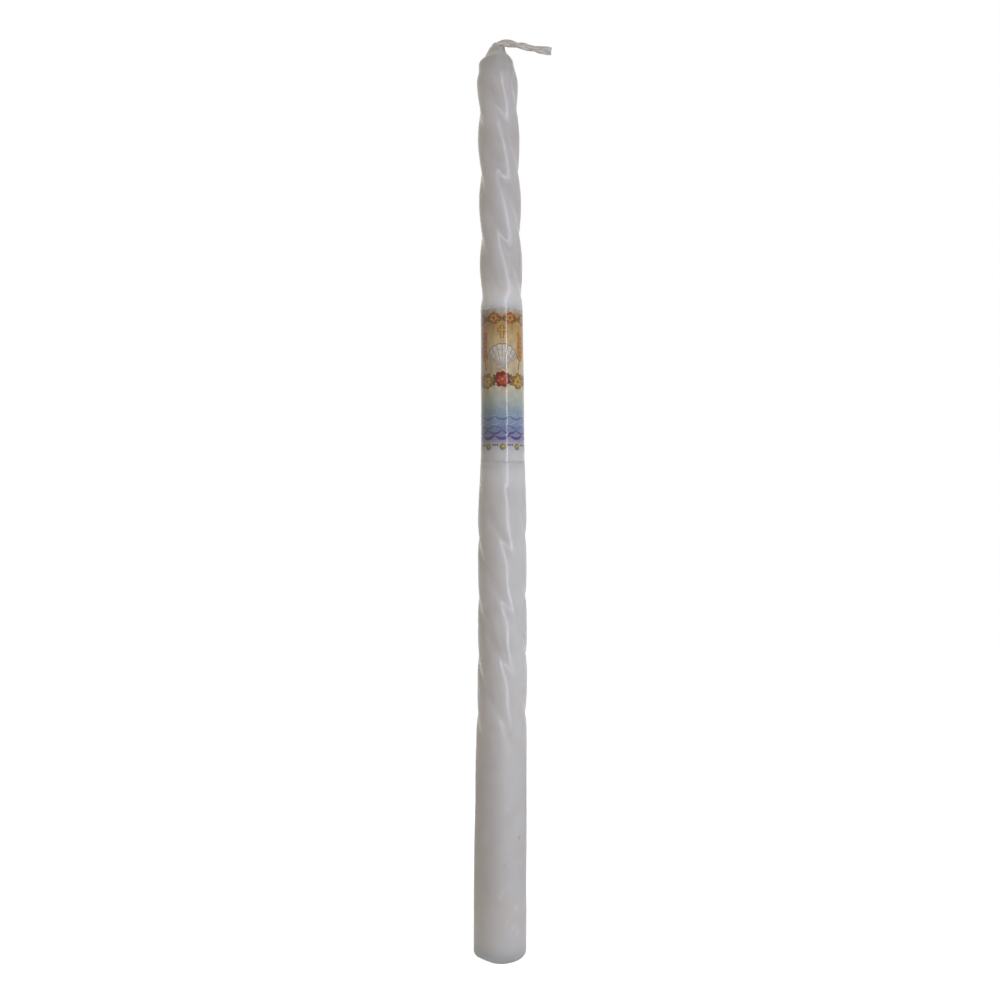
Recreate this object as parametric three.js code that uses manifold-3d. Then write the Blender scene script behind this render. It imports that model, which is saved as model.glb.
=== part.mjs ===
// Baptism candle: a slim hand-held candle of white wax. Its foot is plain, its shaft is twisted into
// four rounded lobes, a printed film wraps its smooth middle band, and a cotton wick is bent over at the tip.
// Millimetres, +Z up. The origin is the centre of the foot's underside. The wick is bent towards +X,
// and -Y is the front. Bearings are angles about +Z, anticlockwise from +X seen from above.

import * as THREE from 'three';
import { mergeVertices } from 'three/addons/utils/BufferGeometryUtils.js';
import Module from 'manifold-3d';

const degree = Math.PI / 180;

// Lengths along the wax, from the foot up
const footLength = 62;
const lowerTwistLength = 99.5;
const bandLength = 50;
const upperTwistLength = 82.5;
const neckLength = 4.5;

// Diameters of the wax over its lobes
const footDiameter = 17.55;
const footTopDiameter = 17;
const lowerTwistBottomDiameter = 16.5;
const lowerTwistTopDiameter = 15.85;
const bandBottomDiameter = 14.5;
const bandTopDiameter = 13.95;
const upperTwistBottomDiameter = 14.1;
const upperTwistTopDiameter = 13.7;
const shoulderDiameter = 10.8;
const neckBaseDiameter = 8;

// Edges and tapers of the wax
const footBevel = 0.7;
const footFade = 18;
const bandTaper = 10;
const lowerFade = 22;
const upperFade = 8;
const shoulderFade = 12;
const shoulderTaper = 6;
const shoulderLedge = 1.5;

// Twist: the grooves fall towards the right at the front. A lobe rises from its groove over the
// gentle share of its angle, anticlockwise, and falls to the next groove over the rest.
const grooveCount = 4;
const gentleShare = 0.56;
const lowerGrooveDepth = 0.6;
const upperGrooveDepth = 1.2;
const lowerPitch = 76.2;
const upperPitch = 83.5;
const firstGrooveBearing = 78 * degree;
const bandTurn = -3 * degree;

// The shaft isn't quite straight: it bows towards +X and its tip leans towards -X
const bow = 1.53;
const bowSkew = 1.26;
const lean = 1.09;

// Wick: it bends over in its neck of wax while it still climbs, arches over its crest, and its
// tail droops straight. The climb and the droop are angles from the level.
const wickDiameter = 2.2;
const wickClearance = 0.3;
const wickBendRadius = 1.8;
const wickClimb = 12 * degree;
const wickArchRadius = 10;
const wickDroop = 12 * degree;
const wickTailLength = 13;
const footSkin = 1.5;

// Wax left around the wick where it starts to bend, and above that at the tip, which climbs the
// outer side of the bend: the rise above the bend's start, the wall, the shift to the side and the slant
const neckWall = 1.1;
const tip = [
  { rise: 0.75, wall: 0.7, shift: 0.4, slant: 6 * degree },
  { rise: 1.4, wall: 0.1, shift: 0.55, slant: 24 * degree },
];

// Printed film, wrapped once around the band with its edges meeting at the back
const filmThickness = 0.15;
const filmGap = 0.15;
const filmEndGap = 0.3;
const filmSeamWidth = 0.8;
const filmSeamBearing = 90 * degree;

// Fineness of the faceted solids
const pointsPerLobe = 12;
const twistStep = 3.5;
const plainStep = 10;
const wickSides = 10;
const wickStep = 12;
const bendSteps = 7;
const archSteps = 4;
const tailSteps = 4;
const filmSides = 44;

// Heights worked out from the lengths
const bandBottom = footLength + lowerTwistLength;
const bandTop = bandBottom + bandLength;
const shoulderHeight = bandTop + upperTwistLength;
const wickBendHeight = shoulderHeight + neckLength;

const pointsAround = grooveCount * pointsPerLobe;
const pointAngle = 2 * Math.PI / pointsAround;
const wickRadius = wickDiameter / 2;
const channelRadius = wickRadius + wickClearance;
const filmRecess = filmThickness + filmGap;

// Sideways place of the shaft's axis at a height
function axisShift(z) {
  const share = Math.min(Math.max(z / wickBendHeight, 0), 1);
  return bow * Math.sin(Math.PI * share ** bowSkew) - lean * share;
}

// Bearing of one groove at a height. The pitch grows evenly from the foot to the shoulder, and the
// upper twist is turned a little against the lower one.
function grooveBearing(z) {
  const growth = (upperPitch - lowerPitch) / (shoulderHeight - footLength);
  const pitch = lowerPitch + growth * (z - footLength);
  const turn = bandTurn * THREE.MathUtils.smoothstep(z, bandBottom, bandTop);
  return firstGrooveBearing + turn - 2 * Math.PI * Math.log(pitch / lowerPitch) / growth;
}

// Depth of the grooves at a height: none on the foot, the band and the shoulder, fading out next to them
function grooveDepth(z) {
  const { smoothstep } = THREE.MathUtils;
  const lower = smoothstep(z, footLength, footLength + footFade)
    * (1 - smoothstep(z, bandBottom - lowerFade, bandBottom));
  const upper = smoothstep(z, bandTop, bandTop + upperFade)
    * (1 - smoothstep(z, shoulderHeight - shoulderFade, shoulderHeight));
  return lower * lowerGrooveDepth + upper * upperGrooveDepth;
}

// Outline of the wax over its lobes: height and radius, from the foot's edge to the neck
const profile = [
  [0, footDiameter / 2 - footBevel],
  [footBevel, footDiameter / 2],
  [footLength, footTopDiameter / 2],
  [footLength + footFade, lowerTwistBottomDiameter / 2],
  [bandBottom - bandTaper, lowerTwistTopDiameter / 2],
  [bandBottom, bandBottomDiameter / 2],
  [bandTop, bandTopDiameter / 2],
  [bandTop + upperFade, upperTwistBottomDiameter / 2],
  [shoulderHeight - shoulderTaper, upperTwistTopDiameter / 2],
  [shoulderHeight, shoulderDiameter / 2],
  [shoulderHeight + shoulderLedge, neckBaseDiameter / 2],
  [wickBendHeight, channelRadius + neckWall],
];

function crestRadius(z) {
  const next = profile.findIndex(([height]) => height >= z);
  if (next <= 0) return profile[0][1];
  const [z0, r0] = profile[next - 1];
  const [z1, r1] = profile[next];
  return THREE.MathUtils.mapLinear(z, z0, z1, r0, r1);
}

// Distance from the axis to the wax: each lobe is a rounded crown between two grooves
function waxRadius(z, bearing) {
  const lobeAngle = 2 * Math.PI / grooveCount;
  const offset = THREE.MathUtils.euclideanModulo(bearing - grooveBearing(z), lobeAngle) / lobeAngle;
  const share = Math.min(offset / gentleShare, (1 - offset) / (1 - gentleShare));
  return crestRadius(z) - grooveDepth(z) * (1 - share) ** 2;
}

// Bearing of the first outline point at a height. The points follow the grooves along the twists,
// stay put on the foot, and turn by less than one point's angle along the band.
function firstPointBearing(z) {
  const foot = grooveBearing(footLength);
  const below = grooveBearing(bandBottom);
  const above = grooveBearing(bandTop);
  const skipped = Math.round((above - below) / pointAngle) * pointAngle;
  if (z <= footLength) return foot;
  if (z <= bandBottom) return grooveBearing(z);
  if (z <= bandTop) return THREE.MathUtils.mapLinear(z, bandBottom, bandTop, below, above - skipped);
  return grooveBearing(z) - skipped;
}

// Evenly spaced heights from one to the other, both included, no further apart than the step
function heightsBetween(from, to, step) {
  const count = Math.ceil((to - from) / step);
  return Array.from({ length: count + 1 }, (_, i) => from + (to - from) * i / count);
}

// Places an outline at (x, 0, z), its plane turned from level towards +X
function placed(x, z, turn = 0) {
  return new THREE.Matrix4().makeRotationY(turn).setPosition(x, 0, z);
}

function circle(radius, sides) {
  return Array.from({ length: sides }, (_, i) => {
    const bearing = 2 * Math.PI * i / sides;
    return new THREE.Vector2(radius * Math.cos(bearing), radius * Math.sin(bearing));
  });
}

// Closed solid through a row of stations. Each has an anticlockwise outline, with equally many points,
// and the matrix that places it. Both ends are closed flat.
function loft(stations) {
  const count = stations[0].outline.length;
  const points = stations.flatMap(({ outline, matrix }) =>
    outline.map((p) => new THREE.Vector3(p.x, p.y, 0).applyMatrix4(matrix)));
  const faces = [];
  for (let s = 0; s < stations.length - 1; s++) {
    for (let i = 0; i < count; i++) {
      const a = s * count + i;
      const b = s * count + (i + 1) % count;
      faces.push(a, b, b + count);
      faces.push(a, b + count, a + count);
    }
  }
  for (const [a, b, c] of THREE.ShapeUtils.triangulateShape(stations[0].outline, [])) {
    faces.push(c, b, a);
  }
  const last = (stations.length - 1) * count;
  for (const [a, b, c] of THREE.ShapeUtils.triangulateShape(stations.at(-1).outline, [])) {
    faces.push(last + a, last + b, last + c);
  }
  const geometry = new THREE.BufferGeometry().setFromPoints(points);
  geometry.setIndex(faces);
  return geometry;
}

// Stations of a round cord that follows the candle's axis, bends over at the tip and ends in its tail.
// Its turn is an angle from upright, towards +X.
function wickStations(radius, start, tailLength) {
  const outline = circle(radius, wickSides);
  const stations = heightsBetween(start, wickBendHeight, wickStep)
    .map((z) => ({ outline, matrix: placed(axisShift(z), z) }));
  let x = axisShift(wickBendHeight);
  let z = wickBendHeight;
  const addArc = (arcRadius, fromTurn, toTurn, steps) => {
    const centreX = x + arcRadius * Math.cos(fromTurn);
    const centreZ = z - arcRadius * Math.sin(fromTurn);
    for (let i = 1; i <= steps; i++) {
      const turn = fromTurn + (toTurn - fromTurn) * i / steps;
      x = centreX - arcRadius * Math.cos(turn);
      z = centreZ + arcRadius * Math.sin(turn);
      stations.push({ outline, matrix: placed(x, z, turn) });
    }
  };
  const climbTurn = 90 * degree - wickClimb;
  const droopTurn = 90 * degree + wickDroop;
  addArc(wickBendRadius, 0, climbTurn, bendSteps);
  addArc(wickArchRadius, climbTurn, droopTurn, archSteps);
  for (let i = 0; i < tailSteps; i++) {
    x += tailLength / tailSteps * Math.sin(droopTurn);
    z += tailLength / tailSteps * Math.cos(droopTurn);
    stations.push({ outline, matrix: placed(x, z, droopTurn) });
  }
  return stations;
}

// Outline of the wax at a height, drawn in from the surface by a recess
function waxOutline(z, recess = 0) {
  return Array.from({ length: pointsAround }, (_, i) => {
    const bearing = firstPointBearing(z) + i * pointAngle;
    const radius = waxRadius(z, bearing) - recess;
    return new THREE.Vector2(radius * Math.cos(bearing), radius * Math.sin(bearing));
  });
}

function waxStation(z, recess) {
  return { outline: waxOutline(z, recess), matrix: placed(axisShift(z), z) };
}

function tipStation({ rise, wall, shift, slant }) {
  const start = firstPointBearing(wickBendHeight);
  const outline = circle(channelRadius + wall, pointsAround)
    .map((p) => p.rotateAround(new THREE.Vector2(), start));
  return { outline, matrix: placed(axisShift(wickBendHeight) + shift, wickBendHeight + rise, slant) };
}

function waxStations() {
  const foot = [0, ...heightsBetween(footBevel, footLength, plainStep)];
  const lowerTwist = heightsBetween(footLength, bandBottom, twistStep).slice(1);
  const band = heightsBetween(bandBottom, bandTop, plainStep);
  const upperTwist = heightsBetween(bandTop, shoulderHeight - shoulderTaper, twistStep);
  const shoulder = heightsBetween(shoulderHeight - shoulderTaper, shoulderHeight, twistStep).slice(1);
  const neck = [shoulderHeight + shoulderLedge, wickBendHeight];
  return [
    ...[...foot, ...lowerTwist].map((z) => waxStation(z)),
    ...band.map((z) => waxStation(z, filmRecess)),
    ...[...upperTwist, ...shoulder, ...neck].map((z) => waxStation(z)),
    ...tip.map(tipStation),
  ];
}

// Film: a C-shaped sleeve whose outer side lies flush with the wax above and below the band
function filmOutline(z) {
  const outer = crestRadius(z);
  const seamAngle = filmSeamWidth / outer;
  const bearings = Array.from({ length: filmSides + 1 }, (_, i) =>
    filmSeamBearing + seamAngle / 2 + (2 * Math.PI - seamAngle) * i / filmSides);
  const arc = (radius) => bearings.map((bearing) =>
    new THREE.Vector2(radius * Math.cos(bearing), radius * Math.sin(bearing)));
  return [...arc(outer), ...arc(outer - filmThickness).reverse()];
}

function filmStations() {
  return heightsBetween(bandBottom + filmEndGap, bandTop - filmEndGap, plainStep)
    .map((z) => ({ outline: filmOutline(z), matrix: placed(axisShift(z), z) }));
}

const wasm = await Module();
wasm.setup();

function toManifold(geometry) {
  const merged = mergeVertices(geometry);
  return new wasm.Manifold(new wasm.Mesh({
    numProp: 3,
    vertProperties: new Float32Array(merged.attributes.position.array),
    triVerts: new Uint32Array(merged.index.array),
  }));
}

function toGeometry(solid) {
  const mesh = solid.getMesh();
  const geometry = new THREE.BufferGeometry();
  geometry.setAttribute('position', new THREE.BufferAttribute(mesh.vertProperties, 3));
  geometry.setIndex(new THREE.BufferAttribute(mesh.triVerts, 1));
  return geometry;
}

// Wax casting, with the channel that holds the wick; its foot closes over the wick's lower end
function waxBodyGeometry() {
  const casting = toManifold(loft(waxStations()));
  const channelTail = wickTailLength + wickClearance;
  const channel = toManifold(loft(wickStations(channelRadius, footSkin, channelTail)));
  return toGeometry(casting.subtract(channel));
}

function wickGeometry() {
  return loft(wickStations(wickRadius, footSkin + wickClearance, wickTailLength));
}

function filmGeometry() {
  return loft(filmStations());
}

const waxMaterial = new THREE.MeshStandardMaterial({ color: 0xe6e3e0, roughness: 0.45, metalness: 0 });
const wickMaterial = new THREE.MeshStandardMaterial({ color: 0xcfc6ba, roughness: 0.85, metalness: 0 });
const filmMaterial = new THREE.MeshStandardMaterial({ color: 0xd9cfb4, roughness: 0.15, metalness: 0 });

function namedMesh(name, geometry, material) {
  geometry.computeVertexNormals();
  const mesh = new THREE.Mesh(geometry, material);
  mesh.name = name;
  return mesh;
}

const group = new THREE.Group();
group.add(namedMesh('wax_body', waxBodyGeometry(), waxMaterial));
group.add(namedMesh('wick', wickGeometry(), wickMaterial));
group.add(namedMesh('decal_film', filmGeometry(), filmMaterial));

export default group;
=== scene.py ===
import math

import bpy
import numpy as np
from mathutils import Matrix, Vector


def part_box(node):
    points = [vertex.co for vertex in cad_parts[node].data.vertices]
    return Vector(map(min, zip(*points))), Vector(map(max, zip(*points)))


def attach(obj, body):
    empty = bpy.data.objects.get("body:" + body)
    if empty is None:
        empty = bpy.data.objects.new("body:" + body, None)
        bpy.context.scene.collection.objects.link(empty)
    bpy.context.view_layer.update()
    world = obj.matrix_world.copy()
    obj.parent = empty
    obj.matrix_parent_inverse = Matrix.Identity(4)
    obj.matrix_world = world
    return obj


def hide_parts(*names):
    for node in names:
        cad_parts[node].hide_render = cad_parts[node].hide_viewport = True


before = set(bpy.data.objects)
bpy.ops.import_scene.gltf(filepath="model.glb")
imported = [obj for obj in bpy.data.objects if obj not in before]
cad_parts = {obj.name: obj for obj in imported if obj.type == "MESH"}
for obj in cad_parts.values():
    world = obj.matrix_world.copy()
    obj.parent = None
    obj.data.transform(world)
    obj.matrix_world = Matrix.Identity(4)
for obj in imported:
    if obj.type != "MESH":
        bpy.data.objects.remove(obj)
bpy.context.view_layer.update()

# Baptism candle: the looks. Metres, +Z up, the origin at the centre of the foot's underside.
# -Y is the front and the wick's tail points to +X. A bearing is an angle about +Z, anticlockwise
# from +X seen from above, so the front's middle is at FRONT.

FILM_LOW, FILM_HIGH = [corner.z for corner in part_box("decal_film")]

FRONT = -math.pi / 2
BACK = math.pi / 2

# Lengths along the wax, from the foot up
FOOT_LENGTH = 0.062
LOWER_TWIST_LENGTH = 0.0995
BAND_LENGTH = 0.050
UPPER_TWIST_LENGTH = 0.0825
NECK_LENGTH = 0.0045

BAND_BOTTOM = FOOT_LENGTH + LOWER_TWIST_LENGTH
BAND_TOP = BAND_BOTTOM + BAND_LENGTH
SHOULDER = BAND_TOP + UPPER_TWIST_LENGTH
WICK_BEND = SHOULDER + NECK_LENGTH

# Edges and tapers of the wax
FOOT_DIAMETER = 0.01752
FOOT_BEVEL = 0.0007
FOOT_WEAR = 1.6
FOOT_WEAR_BEARING = math.radians(-38)
FOOT_WEAR_SPREAD = math.radians(24)
FOOT_FADE = 0.018
BAND_TAPER = 0.006
LOWER_FADE = 0.022
UPPER_FADE = 0.008
SHOULDER_FADE = 0.016
SHOULDER_TAPER = 0.006
SHOULDER_LEDGE = 0.0008

# Painted shade: the wax is darker from below the shoulder up the neck
NECK_SHADE_LOW = SHOULDER - 0.0100
NECK_SHADE_HIGH = SHOULDER + 0.0025

# Outline of the wax over its lobes: height and diameter
PROFILE = [
    (0, FOOT_DIAMETER),
    (0.034, 0.01742),
    (0.052, 0.01706),
    (FOOT_LENGTH, 0.01702),
    (FOOT_LENGTH + FOOT_FADE, 0.01657),
    (0.120, 0.01623),
    (0.143, 0.01617),
    (BAND_BOTTOM - BAND_TAPER, 0.01546),
    (BAND_BOTTOM, 0.01460),
    (BAND_BOTTOM + 0.0085, 0.01430),
    (0.190, 0.01425),
    (BAND_TOP, 0.01392),
    (BAND_TOP + UPPER_FADE, 0.01416),
    (0.260, 0.01383),
    (SHOULDER - SHOULDER_TAPER, 0.01369),
    (SHOULDER - 0.0047, 0.01280),
    (SHOULDER - 0.0028, 0.01180),
    (SHOULDER - 0.0012, 0.01120),
    (SHOULDER + 0.0001, 0.01080),
    (SHOULDER + SHOULDER_LEDGE, 0.00995),
    (SHOULDER + 0.0012, 0.00885),
    (SHOULDER + 0.0018, 0.00775),
    (SHOULDER + 0.0030, 0.00640),
    (WICK_BEND, 0.00500),
]

# How far the outline's corners are rounded, less near the shoulder: height and reach
ROUNDING_REACH = [
    (SHOULDER - 0.0140, 0.0030),
    (SHOULDER - 0.0080, 0.0020),
    (SHOULDER - 0.0040, 0.0018),
    (SHOULDER, 0.0012),
]

# Twist: the grooves fall towards the right at the front, each with one side gentler than the other
GROOVE_COUNT = 4
LOWER_GROOVE_DEPTH = 0.00059
UPPER_GROOVE_DEPTH = 0.00096
LOWER_GROOVE_ROUNDING = 0.40
UPPER_GROOVE_ROUNDING = 0.50
LOWER_GROOVE_CURVE = 5
UPPER_GROOVE_CURVE = 2.2
GROOVE_GENTLE_SHARE = 0.548
LOWER_PITCH = 0.0762
UPPER_PITCH = 0.0835
FIRST_GROOVE_BEARING = math.radians(78)
BAND_TURN = math.radians(-3)

# The shaft isn't quite straight: its bow, its lean to the left and a slight sway above the foot
BOW = 0.00153
BOW_SKEW = 1.26
LEAN = 0.00109
SWAY = 0.00014
SWAY_START = 0.065
SWAY_LENGTH = 0.100

# The shoulder is fuller on its left, with a slight hollow in front of that: bearing, height, half length
SHOULDER_BULGE = 0.00050
SHOULDER_BULGE_PLACE = (math.radians(176), SHOULDER - 0.0008, 0.0020)
NECK_HOLLOW = 0.00055
NECK_HOLLOW_PLACE = (math.radians(212), SHOULDER + 0.0009, 0.0009)
UNEVEN_SPREAD = math.radians(36)

# Waves and dimples of the hand-finished wax, which end near the film; both are sums of ripples
WAVE_HEIGHT = 0.00004
WAVE_LENGTH = 0.030
DIMPLE_HEIGHT = 0.000012
DIMPLE_LENGTH = 0.006
SMOOTH_NEAR_FILM = 0.0040
RIPPLE_COUNT = 14

# The shaft's last ring, under the tip
SHAFT_TOP = WICK_BEND - 0.0011

# Wax at the tip, around the wick's bend: its left and right edge as (x, z), its half depth, and how
# far its front and back dip below its edges
TIP = [
    ((-0.00375, 0.29800), (0.00180, 0.29800), 0.00262, 0.00005),
    ((-0.00345, 0.29850), (0.00172, 0.29840), 0.00235, 0.00030),
    ((-0.00320, 0.29885), (0.00164, 0.29892), 0.00195, 0.00060),
    ((-0.00298, 0.29915), (0.00150, 0.29934), 0.00152, 0.00085),
    ((-0.00275, 0.29942), (0.00085, 0.29948), 0.00122, 0.00080),
    ((-0.00242, 0.29988), (-0.00050, 0.29915), 0.00108, 0.00060),
    ((-0.00202, 0.30028), (-0.00105, 0.29910), 0.00092, 0.00050),
    ((-0.00166, 0.30053), (-0.00120, 0.29930), 0.00078, 0.00030),
    ((-0.00140, 0.30064), (-0.00128, 0.29955), 0.00050, 0.00020),
]

# Wick's route: up the channel, round the bend, over an arch and down the tail. WICK_SEEN_FROM is a
# length from the bend's start, and the rings are close together from there on.
WICK_START = 0.0018
WICK_SEEN_FROM = -0.002
WICK_BEND_RADIUS = 0.0018
WICK_CLIMB = math.radians(10)
WICK_ARCH_RADIUS = 0.0065
WICK_DROOP = math.radians(10.5)
WICK_TAIL_LENGTH = 0.0145
WICK_TAIL_DIP = 0.0002
WICK_DIP_START = 0.0065
WICK_DIP_END = 0.0100
WICK_END_RISE = 0.0002
WICK_RISE_LENGTH = 0.004

# Wick's thickness: two plies of yarns twisted together, fuller in the bend and at the frayed end. One
# ply is on top where x is PLY_CROWN.
PLY_RADIUS = 0.00078
PLY_RADIUS_CHANGE = 0.05
PLY_RADIUS_PERIOD = 0.0047
PLY_OFFSET = 0.00030
PLY_OFFSET_CHANGE = 0.10
PLY_OFFSET_PERIOD = 0.0061
PLY_HALF_PITCH = 0.0058
PLY_CROWN = 0.0078
YARN_COUNT = 5
YARN_DEPTH = 0.00006
YARN_PITCH = 0.0070
YARN_ROUNDING = 0.12
PLY_CREASE_WIDTH = 0.35
WICK_CROWN = 0.0019
WICK_CROWN_SWELL = 0.08
WICK_CROWN_LENGTH = 0.0025
WICK_FLARE = 0.32
WICK_FLARE_LENGTH = 0.0060
WICK_FRAY = 0.00012
WICK_FRAY_LENGTH = 0.0006

# Printed film
FILM_THICKNESS = 0.00014
FILM_RECESS = 0.00015
FILM_SINK_LENGTH = 0.0003
FILM_SEAM_WIDTH = 0.0003
FILM_WRINKLE = 0.000010
FILM_WRINKLE_LENGTH = 0.009
FILM_FOLD_HEIGHT = 0.0088
FILM_FOLD_LENGTH = 0.0012
FILM_FOLD_STRENGTH = 1.5
FILM_FOLD_COUNT = 14
FILM_FOLD_SLANT = 0.0004

# Camera and image of the photograph
IMAGE_PIXELS = 1000
FOCAL_PIXELS = 870
CAMERA_PLACE = (0.00003, -0.2878, 0.1492)


def smoothstep(value, low, high):
    share = np.clip((value - low) / (high - low), 0, 1)
    return share * share * (3 - 2 * share)


def between(z, start, full, fading, end):
    """1 from full to fading, and 0 below start and above end."""
    return smoothstep(z, start, full) * (1 - smoothstep(z, fading, end))


def nearest(angle):
    """The same angle, brought to between -pi and pi."""
    return np.mod(angle + np.pi, 2 * np.pi) - np.pi


def axis_shift(z):
    """Sideways place of the shaft's axis at a height."""
    share = np.clip(z / WICK_BEND, 0, 1)
    sway = SWAY * np.sin(2 * np.pi * np.clip((z - SWAY_START) / SWAY_LENGTH, 0, 1))
    return BOW * np.sin(np.pi * share ** BOW_SKEW) - LEAN * share + sway


def groove_bearing(z):
    """Bearing of one groove at a height: the pitch grows upwards, and the band hides a slight turn."""
    growth = (UPPER_PITCH - LOWER_PITCH) / (SHOULDER - FOOT_LENGTH)
    pitch = LOWER_PITCH + growth * (z - FOOT_LENGTH)
    turn = BAND_TURN * smoothstep(z, BAND_BOTTOM, BAND_TOP)
    return FIRST_GROOVE_BEARING + turn - 2 * np.pi * np.log(pitch / LOWER_PITCH) / growth


def groove_depth(z):
    """Depth of the grooves at a height: none on the foot, the band and the shoulder."""
    lower = between(z, FOOT_LENGTH, FOOT_LENGTH + FOOT_FADE, BAND_BOTTOM - LOWER_FADE, BAND_BOTTOM)
    upper = between(z, BAND_TOP, BAND_TOP + UPPER_FADE, SHOULDER - SHOULDER_FADE, SHOULDER)
    return lower * LOWER_GROOVE_DEPTH + upper * UPPER_GROOVE_DEPTH


def crest_radius(z):
    """Radius over the lobes: the profile with its corners rounded."""
    heights, diameters = zip(*PROFILE)
    reach = np.interp(z, *zip(*ROUNDING_REACH))
    offsets = np.linspace(-1, 1, 9)
    weights = np.cos(offsets * np.pi / 2)
    near = [np.interp(z + reach * offset, heights, diameters) for offset in offsets]
    return np.tensordot(weights / weights.sum(), np.array(near), 1) / 2


def groove_share(angle, count, rounding, gentle=0.5, curve=2):
    """How deep in a groove an angle is: 1 at the bottom, 0 on the crown; the gentle side comes first."""
    lobe = 2 * np.pi / count
    offset = np.mod(angle, lobe) / lobe
    share = np.where(offset < gentle, offset / gentle, (1 - offset) / (1 - gentle))
    rounded = np.sqrt(share ** 2 + rounding ** 2) - rounding
    return np.maximum(1 - rounded / (np.sqrt(1 + rounding ** 2) - rounding), 0) ** curve


def ripple(bearing, z, seed, turns, wavelength):
    """Smooth random unevenness over the surface, mostly between -1 and 1."""
    random = np.random.default_rng(seed)
    total = 0
    for _ in range(RIPPLE_COUNT):
        around = random.integers(-turns, turns + 1)
        along = 2 * np.pi / (wavelength * random.uniform(0.6, 1.8))
        total = total + np.sin(around * bearing + along * z + random.uniform(0, 2 * np.pi))
    return total / math.sqrt(RIPPLE_COUNT)


def lofted(rings):
    """Vertices and faces of a closed body through rings of points, its two ends closed by fans."""
    count, around, _ = rings.shape
    vertices = np.vstack([rings.reshape(-1, 3), rings[0].mean(0), rings[-1].mean(0)])
    start, end = count * around, count * around + 1
    here = np.arange(around)
    after = np.roll(here, -1)
    faces = []
    for row in range(count - 1):
        a, b = row * around + here, row * around + after
        faces.append(np.stack([a, b, b + around, a + around], 1))
    faces = np.vstack(faces).tolist()
    top = (count - 1) * around
    faces += [[start, int(b), int(a)] for a, b in zip(here, after)]
    faces += [[end, int(top + a), int(top + b)] for a, b in zip(here, after)]
    return vertices, faces


def add_object(name, data):
    made = bpy.data.objects.new(name, data)
    bpy.context.scene.collection.objects.link(made)
    return made


def mesh_piece(name, vertices, faces, material, sharp=50):
    """A named piece of the candle that rides on the frame's one body."""
    mesh = bpy.data.meshes.new(name)
    mesh.from_pydata(np.asarray(vertices).tolist(), [], faces)
    mesh.validate()
    mesh.materials.append(material)
    mesh.polygons.foreach_set("use_smooth", [True] * len(mesh.polygons))
    mesh.set_sharp_from_angle(angle=math.radians(sharp))
    mesh.update()
    piece = add_object(name, mesh)
    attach(piece, "root")
    return piece


def carry(piece, name, values):
    """Gives each point of a piece a number that its material reads."""
    carried = piece.data.attributes.new(name, "FLOAT", "POINT")
    carried.data.foreach_set("value", values.astype(np.float32))


# Materials

def linear(red, green, blue):
    """A colour given as it shows on a screen, from 0 to 255, as the linear one that shaders take."""
    channels = [c / 255 for c in (red, green, blue)]
    return (*[c / 12.92 if c <= 0.04045 else ((c + 0.055) / 1.055) ** 2.4 for c in channels], 1)


WHITE = (1, 1, 1, 1)

# Wax: its faint clouds, painted shade on the neck, painted light beside the film and at its lower edge,
# painted light up the foot and on its rim, and the foot's marks with painted shade in the dents
WAX_CLOUD_DARK = linear(189, 187, 187)
WAX_CLOUD_PALE = linear(194, 193, 194)
NECK_PAINTED_SHADE = linear(162, 163, 160)
PAINTED_LIGHT_BELOW_FILM = linear(211, 209, 209)
PAINTED_LIGHT_ABOVE_FILM = linear(206, 196, 187)
PAINTED_LIGHT_AT_FILM_EDGE = linear(240, 238, 238)
PAINTED_LIGHT_ON_FOOT = linear(210, 207, 206)
PAINTED_LIGHT_ON_RIM = linear(236, 235, 233)
DENT_PAINTED_SHADE = linear(112, 108, 110)
PALE_MARK = linear(236, 235, 234)

# How far the painted light reaches from the film, the brightest of it just below the film, how far the
# painted light reaches up the foot, and how far the painted light on its rim reaches
FILM_LIGHT_LENGTH = 0.0100
FILM_EDGE_LENGTH = 0.0016
FOOT_LIGHT_LENGTH = 0.0260
RIM_LIGHT_LENGTH = 0.0024

# The foot is duller than the rest, from being held
FOOT_ROUGHNESS = 0.50
WAX_ROUGHNESS = 0.25
SATIN_FROM = FOOT_LENGTH - 0.004

# Wick: its strands, painted shade in the grooves between them, and its paler end
STRAND_DARK = linear(212, 204, 194)
STRAND_PALE = linear(228, 223, 216)
PAINTED_GROOVE_SHADE = linear(164, 151, 136)
WICK_END = linear(224, 226, 232)
WICK_END_FROM = 0.0135
WICK_END_TO = 0.0165

# Print: painted shade makes it deeper and warmer towards the left, none at one x and full at the other,
# and brown folds lie over its upper part. Starts are above the film's lower edge.
PAINTED_LEFT_SHADE = (0.60, 0.53, 0.42, 1)
LEFT_SHADE_FULL = -0.0075
LEFT_SHADE_NONE = -0.0010
DRAPE_FOLD = linear(150, 114, 70)
DRAPE_STRETCH = (1, 1, 0.3)
DRAPE_START = 0.0200
DRAPE_FULL = 0.0260
PRINT_START = 0.0025
PRINT_FULL = 0.0060
WASH_DRIFT = 0.0016

# Washes of the print up the film: height above its lower edge, and colour
WASHES = [
    (0.0000, (194, 191, 189)),
    (0.0022, (194, 192, 191)),
    (0.0052, (182, 182, 191)),
    (0.0070, (142, 142, 168)),
    (0.0088, (118, 124, 160)),
    (0.0108, (122, 138, 168)),
    (0.0135, (134, 150, 174)),
    (0.0158, (140, 158, 172)),
    (0.0178, (160, 170, 168)),
    (0.0205, (182, 186, 176)),
    (0.0240, (202, 192, 164)),
    (0.0300, (210, 188, 148)),
    (0.0360, (213, 190, 148)),
    (0.0405, (204, 176, 126)),
    (0.0440, (182, 146, 84)),
    (0.0474, (176, 142, 84)),
    (0.0487, (188, 178, 162)),
    (0.0494, (194, 190, 187)),
]

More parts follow.
